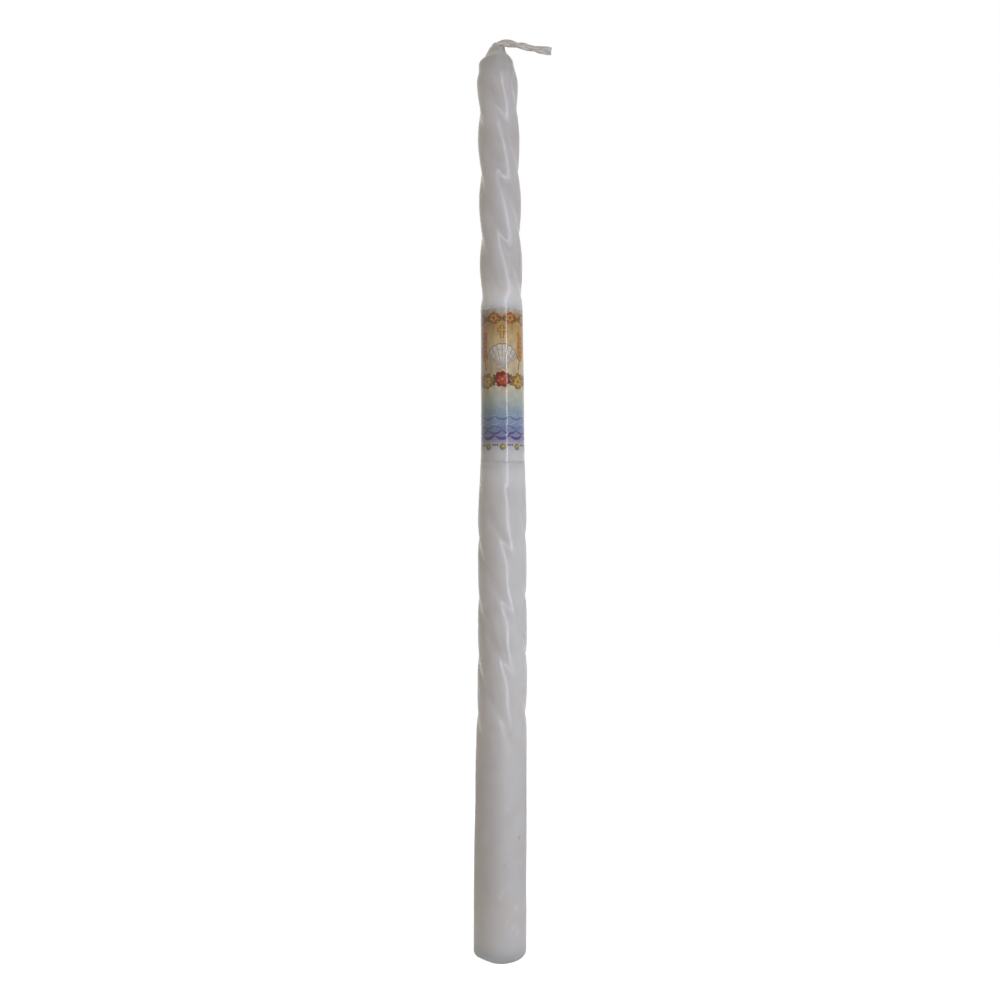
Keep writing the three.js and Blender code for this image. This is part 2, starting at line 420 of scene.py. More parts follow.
# Inks of the print: the two colours that each is mottled between
INKS = {
    "olive": ((112, 92, 46), (92, 76, 40)),
    "amber": ((146, 82, 26), (168, 102, 38)),
    "rust": ((150, 60, 22), (170, 88, 30)),
    "gold": ((204, 158, 72), (188, 130, 46)),
    "umber": ((104, 44, 22), (122, 62, 26)),
    "ray": ((206, 168, 96), (190, 144, 70)),
    "cross_edge": ((122, 72, 30), (104, 58, 24)),
    "cross": ((212, 170, 84), (196, 148, 58)),
    "shell_shade": ((140, 104, 66), (166, 132, 94)),
    "shell_ear": ((196, 182, 160), (176, 156, 128)),
    "shell": ((216, 212, 204), (196, 186, 170)),
    "shell_groove": ((160, 132, 100), (178, 156, 130)),
    "stem": ((134, 104, 44), (116, 88, 36)),
    "wheat_shade": ((158, 88, 24), (176, 104, 28)),
    "wheat": ((204, 150, 36), (196, 124, 28)),
    "leaf": ((104, 92, 46), (84, 80, 42)),
    "red": ((112, 8, 4), (138, 18, 8)),
    "coral": ((170, 52, 14), (190, 84, 24)),
    "heart": ((204, 156, 76), (190, 136, 56)),
    "ochre": ((152, 118, 34), (134, 96, 28)),
    "yellow": ((200, 168, 76), (186, 148, 58)),
    "brown": ((128, 78, 34), (108, 62, 28)),
    "pale_blue": ((158, 172, 190), (142, 158, 184)),
    "blue": ((92, 108, 156), (108, 126, 170)),
    "violet": ((82, 62, 122), (96, 82, 144)),
    "pearl": ((158, 140, 84), (142, 122, 66)),
    "pearl_heart": ((192, 176, 120), (178, 158, 96)),
    "dot": ((84, 76, 92), (104, 84, 78)),
}


def add_node(source, kind, inputs=None, **settings):
    """A node beside a socket, or in a material or a world, its inputs given as values or sockets."""
    tree = source.id_data if isinstance(source, bpy.types.NodeSocket) else source.node_tree
    made = tree.nodes.new(kind)
    for name, value in settings.items():
        setattr(made, name, value)
    for name, value in (inputs or {}).items():
        if isinstance(value, bpy.types.NodeSocket):
            tree.links.new(value, made.inputs[name])
        else:
            made.inputs[name].default_value = value
    return made


def new_material(name):
    material = bpy.data.materials.new(name)
    material.use_nodes = True
    material.node_tree.nodes.clear()
    return material


def finish_material(material, shader):
    add_node(material, "ShaderNodeOutputMaterial", {"Surface": shader.outputs[0]})
    return material


def object_place(source):
    return add_node(source, "ShaderNodeTexCoord").outputs["Object"]


def component(vector, axis):
    return add_node(vector, "ShaderNodeSeparateXYZ", {"Vector": vector}).outputs[axis]


def attribute(material, name):
    return add_node(material, "ShaderNodeAttribute", attribute_name=name).outputs["Fac"]


def calculated(operation, first, second):
    return add_node(first, "ShaderNodeMath", {0: first, 1: second}, operation=operation).outputs[0]


def noise(place, scale, detail, distortion=0.0):
    inputs = {"Vector": place, "Scale": scale, "Detail": detail, "Distortion": distortion}
    return add_node(place, "ShaderNodeTexNoise", inputs).outputs["Fac"]


def mapped(value, low, high, to_low, to_high):
    """A value carried over from one range to another, and held at that one's ends."""
    inputs = {"Value": value, "From Min": low, "From Max": high, "To Min": to_low, "To Max": to_high}
    return add_node(value, "ShaderNodeMapRange", inputs).outputs["Result"]


def mixed(factor, first, second):
    """Two colours mixed: the node's inputs 6 and 7 and its output 2 are those for colours."""
    inputs = {0: factor, 6: first, 7: second}
    return add_node(factor, "ShaderNodeMix", inputs, data_type="RGBA").outputs[2]


def multiplied(first, second):
    inputs = {0: 1.0, 6: first, 7: second}
    return add_node(first, "ShaderNodeMix", inputs, data_type="RGBA", blend_type="MULTIPLY").outputs[2]


def mottled(place, scale, detail, first, second):
    """Two colours in soft patches."""
    patch = mapped(noise(place, scale, detail), 0.35, 0.65, 0, 1)
    return mixed(patch, first, second)


def bumped(height, distance, strength, normal=None):
    inputs = {"Height": height, "Distance": distance, "Strength": strength}
    if normal is not None:
        inputs["Normal"] = normal
    return add_node(height, "ShaderNodeBump", inputs).outputs["Normal"]


def wax_material():
    material = new_material("white_wax")
    place = object_place(material)
    colour = mottled(place, 130, 3, WAX_CLOUD_DARK, WAX_CLOUD_PALE)
    height = component(place, "Z")
    # Painted shade from below the shoulder up the neck
    thin = mapped(height, NECK_SHADE_LOW, NECK_SHADE_HIGH, 0, 1)
    colour = mixed(thin, colour, NECK_PAINTED_SHADE)
    # Painted light: the wax is paler beside the film, above and below it
    below = mapped(height, FILM_LOW - FILM_LIGHT_LENGTH, FILM_LOW, 0, 1)
    above = mapped(height, FILM_HIGH, FILM_HIGH + FILM_LIGHT_LENGTH, 1, 0)
    lit_near_film = calculated("MULTIPLY", below, above)
    along_film = mapped(height, FILM_LOW, FILM_HIGH, 0, 1)
    lit_beside_film = mixed(along_film, PAINTED_LIGHT_BELOW_FILM, PAINTED_LIGHT_ABOVE_FILM)
    colour = mixed(lit_near_film, colour, lit_beside_film)
    # Painted light: a paler band just below the film's lower edge
    edge = mapped(height, FILM_LOW - FILM_EDGE_LENGTH, FILM_LOW, 0, 0.8)
    edge = calculated("MULTIPLY", edge, above)
    colour = mixed(edge, colour, PAINTED_LIGHT_AT_FILM_EDGE)
    # Painted light: the wax grows paler towards the foot's underside
    foot_light = mapped(height, 0, FOOT_LIGHT_LENGTH, 0.7, 0)
    colour = mixed(foot_light, colour, PAINTED_LIGHT_ON_FOOT)
    # Painted light: the foot's lowest rim is paler still
    rim = mapped(height, 0, RIM_LIGHT_LENGTH, 0.9, 0)
    colour = mixed(rim, colour, PAINTED_LIGHT_ON_RIM)
    mark = attribute(material, "mark")
    # Painted shade in the dents, deeper with their depth; the raised marks are pale
    colour = mixed(mapped(mark, 0, 1, 0, 0.75), colour, DENT_PAINTED_SHADE)
    colour = mixed(mapped(mark, -1, 0, 0.35, 0), colour, PALE_MARK)
    soft = bumped(noise(place, 300, 2), 0.00003, 0.3)
    fine = bumped(noise(place, 2000, 2), 0.000006, 0.3, soft)
    inputs = {
        "Base Color": colour,
        "Normal": fine,
        "IOR": 1.56,
        "Subsurface Weight": 1.0,
        "Subsurface Radius": (1.0, 0.9, 0.8),
        "Subsurface Scale": 0.0300,
    }
    foot = add_node(material, "ShaderNodeBsdfPrincipled", {**inputs, "Roughness": FOOT_ROUGHNESS})
    shaft = add_node(material, "ShaderNodeBsdfPrincipled", {**inputs, "Roughness": WAX_ROUGHNESS})
    upwards = mapped(height, SATIN_FROM, FOOT_LENGTH + FOOT_FADE, 0, 1)
    both = {0: upwards, 1: foot.outputs[0], 2: shaft.outputs[0]}
    return finish_material(material, add_node(material, "ShaderNodeMixShader", both))


def wick_material():
    material = new_material("waxed_cotton")
    place = object_place(material)
    colour = mottled(place, 420, 3, STRAND_DARK, STRAND_PALE)
    # Painted shade in the grooves between the yarns and plies
    groove = mapped(attribute(material, "groove"), 0.15, 1, 0, 0.50)
    colour = mixed(groove, colour, PAINTED_GROOVE_SHADE)
    end = mapped(component(place, "X"), WICK_END_FROM, WICK_END_TO, 0, 0.7)
    colour = mixed(end, colour, WICK_END)
    fibre = bumped(noise(place, 5200, 2), 0.00002, 0.6)
    inputs = {"Base Color": colour, "Roughness": 0.62, "Normal": fibre, "IOR": 1.45}
    return finish_material(material, add_node(material, "ShaderNodeBsdfPrincipled", inputs))


def glossy(material, colour):
    """The film's and the inks' finish: a satin print under a clear, glossy layer."""
    inputs = {
        "Base Color": colour,
        "Roughness": 0.4,
        "IOR": 1.15,
        "Coat Weight": 1.0,
        "Coat Roughness": 0.13,
        "Coat IOR": 1.44,
    }
    return finish_material(material, add_node(material, "ShaderNodeBsdfPrincipled", inputs))


def shaded(colour):
    """A colour made deeper and warmer on the candle's left side, as painted shade."""
    share = mapped(component(object_place(colour), "X"), LEFT_SHADE_FULL, LEFT_SHADE_NONE, 0, 1)
    return multiplied(colour, mixed(share, PAINTED_LEFT_SHADE, WHITE))


def painted(colour, scale, dark):
    """A colour with the uneven strength of a brushed wash."""
    return multiplied(colour, mapped(noise(object_place(colour), scale, 5), 0.3, 0.7, dark, 1))


def film_material():
    material = new_material("printed_film")
    place = object_place(material)
    height = component(place, "Z")
    drift = mapped(noise(place, 170, 4), 0, 1, -WASH_DRIFT, WASH_DRIFT)
    share = mapped(calculated("ADD", height, drift), FILM_LOW, FILM_HIGH, 0, 1)
    ramp = add_node(material, "ShaderNodeValToRGB", {"Fac": share})
    stops = ramp.color_ramp.elements
    stops[0].position, stops[1].position = 0, 1
    stops[0].color, stops[1].color = linear(*WASHES[0][1]), linear(*WASHES[-1][1])
    for above, colour in WASHES[1:-1]:
        stops.new(above / (FILM_HIGH - FILM_LOW)).color = linear(*colour)
    washes = ramp.outputs["Color"]
    printed = mapped(height, FILM_LOW + PRINT_START, FILM_LOW + PRINT_FULL, 0, 1)
    stretched = {0: place, 1: DRAPE_STRETCH}
    stretched = add_node(material, "ShaderNodeVectorMath", stretched, operation="MULTIPLY").outputs[0]
    fold = mapped(noise(stretched, 520, 3, 0.6), 0.42, 0.62, 0, 0.45)
    drape = mapped(height, FILM_LOW + DRAPE_START, FILM_LOW + DRAPE_FULL, 0, 1)
    drape = calculated("MULTIPLY", fold, drape)
    brushed = painted(shaded(mixed(drape, washes, DRAPE_FOLD)), 420, 0.82)
    return glossy(material, mixed(printed, washes, painted(brushed, 1500, 0.92)))


def ink_material(name):
    material = new_material(name + "_ink")
    first, second = INKS[name]
    colour = mottled(object_place(material), 700, 4, linear(*first), linear(*second))
    colour = painted(shaded(colour), 1600, 0.85)
    rim = mapped(attribute(material, "rim"), 0.2, 1, 1, 0.6)
    return glossy(material, multiplied(colour, rim))


# Wax body

POINTS_AROUND = 240
POINT_ANGLE = 2 * math.pi / POINTS_AROUND
TIP_STEPS = 6

# Small marks on the foot: height, bearing from the front's middle in degrees, radius and depth. The
# raised ones, with a depth below 0, are pale, and the others are dents darkened with painted shade.
MARKS = [
    (0.0398, 45, 0.00045, 0.00013),
    (0.0319, 9, 0.00045, 0.00004),
    (0.0496, 13, 0.00080, -0.00003),
    (0.0234, 4, 0.00060, -0.00005),
    (0.0217, 0, 0.00085, -0.00006),
    (0.0177, 37, 0.00085, -0.00006),
    (0.0133, 15, 0.00060, -0.00005),
    (0.0114, 31, 0.00085, -0.00006),
    (0.0092, 41, 0.00080, -0.00006),
    (0.0124, -38, 0.00060, 0.00003),
    (0.0231, 150, 0.00050, 0.00004),
    (0.0412, -120, 0.00045, 0.00005),
    (0.0098, 200, 0.00060, 0.00005),
]

# Depth and height at which marks have their full colour
DEEPEST_MARK = 0.00016
PALEST_MARK = 0.00009


def first_point_bearing(z):
    """Bearing of the first point of a ring: along the twists the points follow the grooves."""
    foot = groove_bearing(FOOT_LENGTH)
    below = groove_bearing(BAND_BOTTOM)
    above = groove_bearing(BAND_TOP)
    skipped = round((above - below) / POINT_ANGLE) * POINT_ANGLE
    along_band = np.interp(z, [BAND_BOTTOM, BAND_TOP], [below, above - skipped])
    bearing = np.where(z > BAND_TOP, groove_bearing(z) - skipped, groove_bearing(z))
    bearing = np.where((z > BAND_BOTTOM) & (z <= BAND_TOP), along_band, bearing)
    return np.where(z <= FOOT_LENGTH, foot, bearing)


def marks_depth(z, bearing):
    depth = 0
    for height, degrees, radius, deep in MARKS:
        turn = nearest(bearing - FRONT - math.radians(degrees))
        distance = np.hypot(z - height, turn * FOOT_DIAMETER / 2)
        depth = depth + deep * np.exp(-(distance / radius) ** 2)
    return depth


def swell(z, bearing, place):
    """A soft bump of height 1 at a place on the wax."""
    middle, height, half_length = place
    turn = nearest(bearing - middle)
    return np.exp(-((z - height) / half_length) ** 2 - (turn / UNEVEN_SPREAD) ** 2)


def shoulder_unevenness(z, bearing):
    bulge = SHOULDER_BULGE * swell(z, bearing, SHOULDER_BULGE_PLACE)
    return bulge - NECK_HOLLOW * swell(z, bearing, NECK_HOLLOW_PLACE)


def wax_radius(z, bearing):
    """Distance from the axis to the fine surface of the wax."""
    upwards = smoothstep(z, BAND_BOTTOM, BAND_TOP)
    rounding = LOWER_GROOVE_ROUNDING + (UPPER_GROOVE_ROUNDING - LOWER_GROOVE_ROUNDING) * upwards
    curve = LOWER_GROOVE_CURVE + (UPPER_GROOVE_CURVE - LOWER_GROOVE_CURVE) * upwards
    share = groove_share(bearing - groove_bearing(z), GROOVE_COUNT, rounding, GROOVE_GENTLE_SHARE, curve)
    radius = crest_radius(z) - groove_depth(z) * share + shoulder_unevenness(z, bearing)
    turn = nearest(bearing - FRONT - FOOT_WEAR_BEARING)
    bevel = FOOT_BEVEL * (1 + FOOT_WEAR * np.exp(-(turn / FOOT_WEAR_SPREAD) ** 2))
    below = np.clip(1 - z / bevel, 0, 1)
    radius = radius - bevel * (1 - np.sqrt(1 - below ** 2))
    under_film = between(z, FILM_LOW, FILM_LOW + FILM_SINK_LENGTH, FILM_HIGH - FILM_SINK_LENGTH, FILM_HIGH)
    uneven = WAVE_HEIGHT * (ripple(bearing, z, seed=3, turns=3, wavelength=WAVE_LENGTH) - 1)
    dimples = ripple(bearing, z, seed=5, turns=12, wavelength=DIMPLE_LENGTH)
    uneven = uneven + DIMPLE_HEIGHT * (dimples - 1)
    uneven = uneven - np.maximum(marks_depth(z, bearing), -WAVE_HEIGHT)
    near_film = between(z, FILM_LOW - SMOOTH_NEAR_FILM, FILM_LOW, FILM_HIGH, FILM_HIGH + SMOOTH_NEAR_FILM)
    return radius + uneven * (1 - near_film) - under_film * FILM_RECESS


# Rings of the shaft: each stretch's upper end and its number of rings, closest together at the foot's
# edge, at the film's edges and over the shoulder
STRETCHES = [
    (FOOT_BEVEL, 6),
    (3 * FOOT_BEVEL, 7),
    (FOOT_LENGTH, 121),
    (BAND_BOTTOM, 199),
    (BAND_BOTTOM + 0.001, 9),
    (BAND_TOP - 0.001, 39),
    (BAND_TOP, 9),
    (SHOULDER - SHOULDER_TAPER, 169),
    (SHAFT_TOP, 59),
]

# Rings of the flat underside, as shares of its radius
UNDERSIDE_RINGS = (0.1, 0.35, 0.6, 0.85, 0.97)


def ring_heights():
    heights = [0.0]
    for end, count in STRETCHES:
        heights += np.linspace(heights[-1], end, count + 1)[1:].tolist()
    return np.array(heights)


def wax_rings():
    """Rings of the wax from the foot's middle to the tip, and how marked each of their points is."""
    heights = ring_heights()[:, None]
    bearing = first_point_bearing(heights) + np.arange(POINTS_AROUND) * POINT_ANGLE
    radius = wax_radius(heights, bearing)
    x = axis_shift(heights) + radius * np.cos(bearing)
    y = radius * np.sin(bearing)
    shaft = np.stack([x, y, np.broadcast_to(heights, x.shape)], 2)
    foot = shaft[0] * np.array([1, 1, 0])
    inner = [foot.mean(0) + (foot - foot.mean(0)) * share for share in UNDERSIDE_RINGS]
    tip = tip_rings(bearing[-1])
    marks = marks_depth(heights, bearing)
    marks = np.where(marks > 0, marks / DEEPEST_MARK, marks / PALEST_MARK).clip(-1, 1)
    marks = np.pad(marks, ((len(inner), len(tip)), (0, 0)))
    return np.concatenate([inner, shaft, tip]), marks


def tip_rings(bearing):
    """Rings that climb the outer side of the wick's bend and end inside the wick."""
    left = np.array([[x, 0, z] for (x, z), *_ in TIP])
    right = np.array([[x, 0, z] for _, (x, z), *_ in TIP])
    depth = [half_depth for *_, half_depth, _ in TIP]
    dip = [lowered for *_, lowered in TIP]
    station = np.linspace(0, len(TIP) - 1, (len(TIP) - 1) * TIP_STEPS + 1)

    def along(values):
        known = np.arange(len(TIP))
        near = [np.interp(station + offset, known, values) for offset in (-0.5, -0.25, 0, 0.25, 0.5)]
        return np.mean(near, 0)

    left = np.stack([along(left[:, axis]) for axis in range(3)], 1)
    right = np.stack([along(right[:, axis]) for axis in range(3)], 1)
    middle, half = (left + right)[:, None] / 2, (right - left)[:, None] / 2
    across = along(depth)[:, None, None] * np.array([0, 1, 0])
    sideways = np.sin(bearing)[None, :, None]
    lower = along(dip)[:, None, None] * np.array([0, 0, 1])
    return middle + half * np.cos(bearing)[None, :, None] + across * sideways - lower * sideways ** 2


def make_wax():
    rings, marks = wax_rings()
    vertices, faces = lofted(rings)
    piece = mesh_piece("wax_surface", vertices, faces, wax_material())
    carry(piece, "mark", np.append(marks.ravel(), [0, 0]))
    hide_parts("wax_body")


# Wick

def wick_route(s):
    """Middle of the wick at a length from the bend's start: x, z and the turn from upright."""
    climb_turn = math.pi / 2 - WICK_CLIMB
    bend = np.clip(s / WICK_BEND_RADIUS, 0, climb_turn)
    beyond = np.maximum(s - WICK_BEND_RADIUS * climb_turn, 0)
    turn = bend + np.clip(beyond / WICK_ARCH_RADIUS, 0, WICK_CLIMB + WICK_DROOP)
    tail = np.maximum(beyond - WICK_ARCH_RADIUS * (WICK_CLIMB + WICK_DROOP), 0)
    height = WICK_BEND + np.minimum(s, 0)
    x = axis_shift(height) + WICK_BEND_RADIUS * (1 - np.cos(bend))
    x = x + WICK_ARCH_RADIUS * (np.cos(bend) - np.cos(turn)) + tail * np.sin(turn)
    z = height + WICK_BEND_RADIUS * np.sin(bend)
    z = z + WICK_ARCH_RADIUS * (np.sin(turn) - np.sin(bend)) + tail * np.cos(turn)
    dip = WICK_TAIL_DIP * smoothstep(beyond, WICK_DIP_START, WICK_DIP_END)
    rise = WICK_END_RISE * smoothstep(tail, WICK_TAIL_LENGTH - WICK_RISE_LENGTH, WICK_TAIL_LENGTH)
    return x, z - dip + rise, turn


def wick_length_at(x):
    """Length from the bend's start to where the wick's middle passes a place along x."""
    s = np.linspace(0, 0.02, 2001)
    return np.interp(x, wick_route(s)[0], s)


def wick_outline(s, angle):
    """Distance from the wick's middle to its surface, and how deep in a groove that place is."""
    turned = angle - np.pi * (s - wick_length_at(PLY_CROWN)) / PLY_HALF_PITCH
    ply_radius = PLY_RADIUS * (1 + PLY_RADIUS_CHANGE * np.sin(2 * np.pi * s / PLY_RADIUS_PERIOD + 1))
    ply_offset = PLY_OFFSET * (1 + PLY_OFFSET_CHANGE * np.sin(2 * np.pi * s / PLY_OFFSET_PERIOD))
    reach = ply_offset * np.abs(np.cos(turned))
    radius = reach + np.sqrt(np.maximum(ply_radius ** 2 - (ply_offset * np.sin(turned)) ** 2, 0))
    sideways = radius * np.sin(turned)
    along = radius * np.cos(turned) - ply_offset * np.sign(np.cos(turned))
    yarn = np.arctan2(sideways, along) + 2 * np.pi * s / YARN_PITCH
    deep = groove_share(yarn, YARN_COUNT, YARN_ROUNDING)
    waist = 1 - smoothstep(np.abs(np.cos(turned)), 0.0, PLY_CREASE_WIDTH)
    return radius - YARN_DEPTH * deep, np.maximum(deep, waist)


def make_wick():
    bend_length = WICK_BEND_RADIUS * (math.pi / 2 - WICK_CLIMB)
    end = bend_length + WICK_ARCH_RADIUS * (WICK_CLIMB + WICK_DROOP) + WICK_TAIL_LENGTH
    start = WICK_START - WICK_BEND
    hidden = np.linspace(start, WICK_SEEN_FROM, 60)[:-1]
    s = np.concatenate([hidden, np.linspace(WICK_SEEN_FROM, end, 200)])[:, None]
    angle = np.linspace(0, 2 * np.pi, 96, endpoint=False)[None, :]
    radius, deep = wick_outline(s, angle)
    crown = (s - wick_length_at(WICK_CROWN)) / WICK_CROWN_LENGTH
    flare = WICK_FLARE * smoothstep(s, end - WICK_FLARE_LENGTH, end)
    radius = radius * (1 + flare + WICK_CROWN_SWELL * np.exp(-crown ** 2))
    x, z, turn = wick_route(s)
    outer, front = radius * np.cos(angle), radius * np.sin(angle)
    ragged = WICK_FRAY * np.sin(3 * angle + 1) * np.cos(7 * angle)
    ragged = ragged * smoothstep(s, end - WICK_FRAY_LENGTH, end)
    rings = np.stack([x - outer * np.cos(turn) + ragged, -front, z + outer * np.sin(turn)], 2)
    vertices, faces = lofted(rings)
    piece = mesh_piece("wick_cord", vertices, faces, wick_material(), sharp=60)
    carry(piece, "groove", np.append(deep.ravel(), [0.5, 0.5]))
    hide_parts("wick")


# Printed film

def film_radius(z, bearing):
    """Radius of the film's outer side, with its slight wrinkles."""
    wrinkle = ripple(bearing, z, seed=11, turns=9, wavelength=FILM_WRINKLE_LENGTH) - 1
    fold = np.exp(-((z - BAND_BOTTOM - FILM_FOLD_HEIGHT) / FILM_FOLD_LENGTH) ** 2)
    creases = np.sin(FILM_FOLD_COUNT * bearing + z / FILM_FOLD_SLANT)
    return crest_radius(z) + FILM_WRINKLE * (wrinkle + FILM_FOLD_STRENGTH * fold * creases)


def wrapped(place, lift):
    """Point on the film: place is (u, v), u to the right of the front's middle, v above its lower edge."""
    z = FILM_LOW + place[..., 1]
    bearing = FRONT + place[..., 0] / crest_radius((BAND_BOTTOM + BAND_TOP) / 2)
    radius = film_radius(z, bearing) + lift
    return np.stack([axis_shift(z) + radius * np.cos(bearing), radius * np.sin(bearing), z], -1)


def plate(grid, top, bottom):
    """Vertices and faces of a thin closed plate on the film, from a grid of (u, v) places."""
    rows, columns, _ = grid.shape
    vertices = np.vstack([wrapped(grid, top).reshape(-1, 3), wrapped(grid, bottom).reshape(-1, 3)])
    index = np.arange(rows * columns).reshape(rows, columns)
    under = index + rows * columns
    corners = index[:-1, :-1], index[:-1, 1:], index[1:, 1:], index[1:, :-1]
    beneath = under[:-1, :-1], under[1:, :-1], under[1:, 1:], under[:-1, 1:]
    faces = [np.stack(corners, 2).reshape(-1, 4), np.stack(beneath, 2).reshape(-1, 4)]
    rim = np.concatenate([index[0, :-1], index[:-1, -1], index[-1, :0:-1], index[:0:-1, 0]])
    after = np.roll(rim, -1)
    low = rim + rows * columns
    faces.append(np.stack([after, rim, low, np.roll(low, -1)], 1))
    return vertices, np.vstack(faces)


def facing_out(grid):
    """The same grid, with its columns turned round if its faces would point into the candle."""
    rows = grid[1:, 0] - grid[:-1, 0]
    columns = grid[:-1, 1] - grid[:-1, 0]
    area = (columns[:, 0] * rows[:, 1] - columns[:, 1] * rows[:, 0]).sum()
    return grid if area > 0 else grid[:, ::-1]


def strip(path, half_width, across=5):
    """Grid of a shape that follows a path of (u, v) places, with its half width at each of them."""
    path = np.asarray(path, float)
    along = np.gradient(path, axis=0)
    side = np.stack([along[:, 1], -along[:, 0]], 1) / np.linalg.norm(along, axis=1)[:, None]
    share = np.linspace(-1, 1, across)[None, :, None]
    width = np.broadcast_to(half_width, len(path))[:, None, None]
    return facing_out(path[:, None] + share * width * side[:, None])


def disc(centre, radius):
    share = np.linspace(-0.995, 0.995, SHAPE_POINTS)
    path = np.stack([centre[0] + radius * share, np.full(SHAPE_POINTS, centre[1])], 1)
    return strip(path, radius * np.sqrt(1 - share ** 2))


def heading(angle):
    return np.array([math.cos(angle), math.sin(angle)])


def blade(base, angle, length, width, fullness=0.8):
    """A petal or a leaf that grows from its base at an angle."""
    share = np.linspace(0.01, 0.99, SHAPE_POINTS)
    path = base + share[:, None] * length * heading(angle)
    return strip(path, width / 2 * np.sin(np.pi * share) ** fullness)


def flower(centre, turn, random, petals, length, width):
    """Petals round a centre, each a little different."""
    shapes = []
    for petal in range(petals):
        angle = turn + petal * 2 * math.pi / petals + random.uniform(-PETAL_TURN, PETAL_TURN)
        reach = length * random.uniform(*PETAL_SIZES)
        shapes.append(blade(centre, angle, reach, width * random.uniform(*PETAL_SIZES), fullness=0.6))
    return shapes


def brush_rim(grid):
    """How near each place of a grid is to its sides or its base: 1 there, 0 in the middle."""
    rows, columns, _ = grid.shape
    along = np.linspace(0, 1, rows)[:, None]
    across = np.abs(np.linspace(-1, 1, columns))[None, :]
    return np.maximum(across ** 1.5, 1 - along / 0.35).ravel()


def ink(name, grids, ink_name, layer):
    """One printed piece: every shape of one ink, a hair above the film."""
    vertices, faces, rims, count = [], [], [], 0
    for grid in grids:
        points, quads = plate(grid, LIFTS[layer], -FILM_THICKNESS / 2)
        vertices.append(points)
        faces.append(quads + count)
        rims += [brush_rim(grid), brush_rim(grid)]
        count += len(points)
    vertices, faces = np.vstack(vertices), np.vstack(faces).tolist()
    piece = mesh_piece(name, vertices, faces, ink_material(ink_name), sharp=60)
    carry(piece, "rim", np.concatenate(rims))


# Print: how far each layer of ink stands off the film, and the sizes of its motifs. Heights are above
# the film's lower edge, and the angles of leaves and of the cross's arms are from the right.
LIFTS = [0.000008, 0.000014, 0.000020, 0.000026, 0.000032]
GIRTH = 0.0445
SHAPE_POINTS = 11
PETAL_TURN = 0.10
PETAL_SIZES = (0.92, 1.06)
ROSETTE_COUNT = 8
ROSETTE_HEIGHT = 0.0463
ROSETTE_OUTER = {"petals": 7, "length": 0.00215, "width": 0.00165}
ROSETTE_INNER = {"petals": 5, "length": 0.00135, "width": 0.00110}
ROSETTE_LEAF_DROP = 0.0002
ROSETTE_LEAF_ANGLES = (0.5, math.pi - 0.5, -0.6, math.pi + 0.6)

CROSS_MIDDLE = 0.0424
CROSS_ARMS = [(math.pi / 2, 0.0013), (0, 0.0013), (math.pi, 0.0013), (-math.pi / 2, 0.0024)]
CROSS_HALF_WIDTH = 0.00032
CROSS_FLARE = 0.00016
CROSS_EDGE = 0.00016
RAY_COUNT = 16
RAY_START = 0.0009
RAY_ENDS = (0.0025, 0.0031)
RAY_HALF_WIDTHS = (0.00020, 0.00006)

SHELL_HINGE = np.array([0.0, 0.0298])
SHELL_REACH = 0.0080
SHELL_SPREAD = math.radians(112)
SHELL_RIBS = 8
SHELL_DROP = 0.20
SHELL_SCALLOP = 0.05
SHELL_SHADE_WIDTH = 0.00036
SHELL_GROWTH_LINES = (0.55, 0.78)
SHELL_EAR_TURN = 1.35

WHEAT_SIDE = 0.0058
WHEAT_BACK_SIDE = 0.0060
WHEAT_FOOT = 0.0296
WHEAT_LENGTH = 0.0120
WHEAT_BEND = 0.0011
GRAIN_TURNS = (0.60, -0.60)

PEONY_COUNT = 8
PEONY_HEIGHT = 0.0262
PEONY_STEP = 0.0003
PEONY_OUTER = {"petals": 7, "length": 0.00285, "width": 0.00215}
PEONY_INNER = {"petals": 6, "length": 0.00180, "width": 0.00125}
PEONY_INNER_PLACE = np.array([0.0001, -0.0002])
PEONY_LEAF_PLACE = 0.0016
PEONY_LEAF_TURNS = (0.75, -0.75)

# Rows of water from the top: height, ink and the half thickness that they gain in their middle
WAVE_ROWS = [
    (0.0158, "pale", 0.00020),
    (0.0146, "blue", 0.00028),
    (0.0129, "pale", 0.00016),
    (0.0116, "blue", 0.00034),
    (0.0100, "violet", 0.00022),
    (0.0084, "violet", 0.00042),
]
WAVE_COUNT = 9
WAVE_SAG = 0.0011
WAVE_SLANT = 0.0002
WAVE_HALF_THICKNESS = 0.00008

PEARL_COUNT = 9
PEARL_HEIGHT = 0.0046
DOT_PLACES = (0.0017, 0.00247, 0.0032)
DOT_RISE = 0.0006


def make_film():
    heights = np.linspace(FILM_LOW, FILM_HIGH, 160)[:, None]
    seam = FILM_SEAM_WIDTH / crest_radius(BAND_BOTTOM) / 2
    bearing = np.linspace(BACK + seam, BACK + 2 * np.pi - seam, 361)[None, :]
    outer = film_radius(heights, bearing)
    inner = crest_radius(heights) - FILM_THICKNESS + 0 * bearing
    bearings = np.hstack([bearing, bearing[:, ::-1]]) + 0 * heights
    radii = np.hstack([outer, inner[:, ::-1]])
    x = axis_shift(heights) + radii * np.cos(bearings)
    rings = np.stack([x, radii * np.sin(bearings), heights + 0 * bearings], 2)
    rows, around, _ = rings.shape
    here = np.arange(around)
    after = np.roll(here, -1)
    faces = []
    for start in range(0, (rows - 1) * around, around):
        faces.append(np.stack([here, after, after + around, here + around], 1) + start)
    outside = np.arange(around // 2 - 1)
    inside = around - 1 - outside
    last = (rows - 1) * around
    faces.append(np.stack([outside, inside, inside - 1, outside + 1], 1))
    faces.append(np.stack([outside, outside + 1, inside - 1, inside], 1) + last)
    vertices, faces = rings.reshape(-1, 3), np.vstack(faces).tolist()
    piece = mesh_piece("film_sleeve", vertices, faces, film_material(), sharp=40)
    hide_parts("decal_film")


def around_places(count, offset):
    """Evenly spaced places round the film: with a whole offset, one of them is on the seam."""
    return [((i + offset) / count - 0.5) * GIRTH for i in range(count)]


